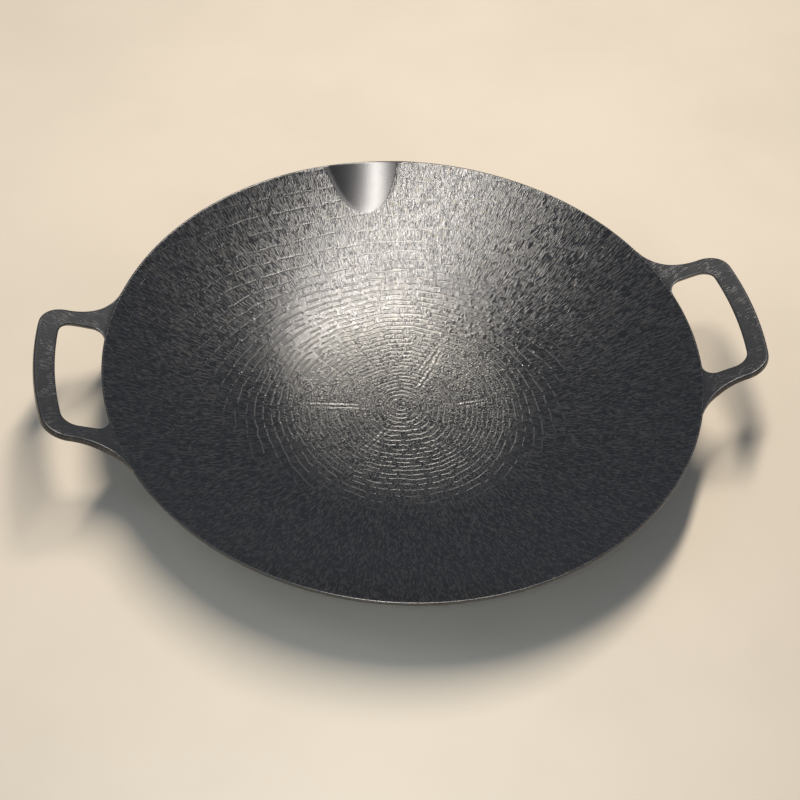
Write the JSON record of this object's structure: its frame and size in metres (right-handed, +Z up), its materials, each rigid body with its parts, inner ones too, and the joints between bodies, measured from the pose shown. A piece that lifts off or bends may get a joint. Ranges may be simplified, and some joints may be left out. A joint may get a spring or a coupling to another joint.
{
  "type": "griddle pan",
  "caption": "Round shallow dished griddle pan of black cast iron, with flat loop handles that carry on the flared rim, a pouring scoop in the rim and a foot ring to stand on.",
  "frame": {"origin": "on the bowl's axis, on the plane that the foot ring stands on", "axes": "+X along the handles, towards the right one; +Y from the axis towards the pouring scoop; +Z up"},
  "size_m": [0.436, 0.3645, 0.0683],
  "materials": {
    "seasoned_iron": "black seasoned cast iron, satin, with a fine ring texture on the cooking side"
  },
  "bodies": {
    "root": {"pan_bowl": "seasoned_iron", "left_handle": "seasoned_iron", "right_handle": "seasoned_iron", "foot_ring": "seasoned_iron"}
  },
  "joints": []
}
